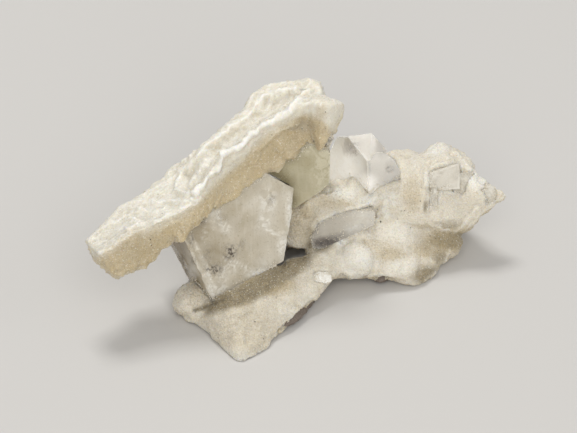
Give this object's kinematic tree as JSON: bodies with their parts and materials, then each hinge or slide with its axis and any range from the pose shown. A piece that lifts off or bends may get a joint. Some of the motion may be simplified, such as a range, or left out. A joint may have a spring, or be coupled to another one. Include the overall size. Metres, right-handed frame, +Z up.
{
  "type": "apophyllite crystal cluster",
  "caption": "Natural mineral cluster: blocky milky apophyllite crystals grown between two crusts of sugary quartz, on a little brown host rock.",
  "frame": {"origin": "under the middle of the cluster's bounding box, on the ground that it rests on", "axes": "+X along the cluster's length towards the small glassy tip, +Y to its back, +Z up from the resting face"},
  "size_m": [0.0924, 0.0558, 0.0443],
  "materials": {
    "host_rock": "rough dark brown basalt",
    "quartz_crust": "sugary off-white drusy quartz",
    "quartz_slab": "sugary white to tan drusy quartz",
    "milky_apophyllite": "milky translucent crystal with striated faces",
    "green_apophyllite": "greenish grey translucent crystal",
    "clear_apophyllite": "bright clear to frosted crystal",
    "grey_apophyllite": "grey glassy crystal"
  },
  "bodies": {
    "root": {"rock_base": "host_rock", "quartz_matrix": "quartz_crust", "quartz_blade": "quartz_slab", "large_crystal": "milky_apophyllite", "rear_crystal": "green_apophyllite", "twin_crystals": "clear_apophyllite", "crevice_crystal": "grey_apophyllite", "inset_crystals": "clear_apophyllite", "tip_crystal": "clear_apophyllite", "hanging_crystal": "grey_apophyllite", "edge_crystal": "clear_apophyllite"}
  },
  "joints": []
}
